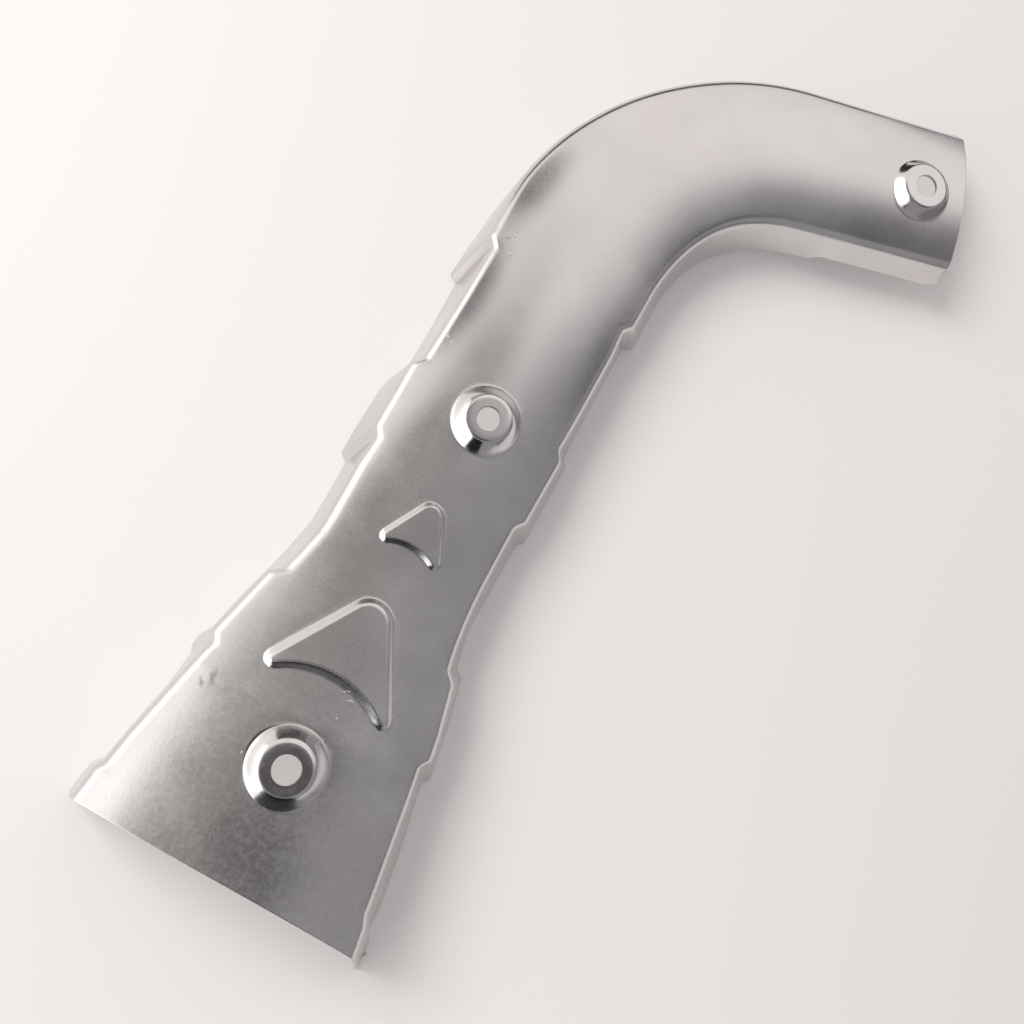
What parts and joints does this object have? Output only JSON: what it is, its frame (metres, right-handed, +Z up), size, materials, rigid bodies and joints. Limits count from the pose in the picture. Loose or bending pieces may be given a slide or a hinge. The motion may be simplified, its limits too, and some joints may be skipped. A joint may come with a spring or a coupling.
{
  "type": "exhaust pipe heat shield",
  "caption": "Pressed sheet-steel heat shield: an open channel with a flared leg, an elbow, joggled walls, raised bolt bosses and fin-shaped beads.",
  "frame": {"origin": "under the middle of the bounding box, on the plane that the foot edges rest on", "axes": "+Y along the long leg, from its wide end to the elbow; +X to the side that the elbow turns to; +Z up, out of the crown"},
  "size_m": [0.1494, 0.316, 0.0333],
  "materials": {
    "steel": "satin, finely mottled"
  },
  "bodies": {
    "root": {"heat_shield": "steel"}
  },
  "joints": []
}
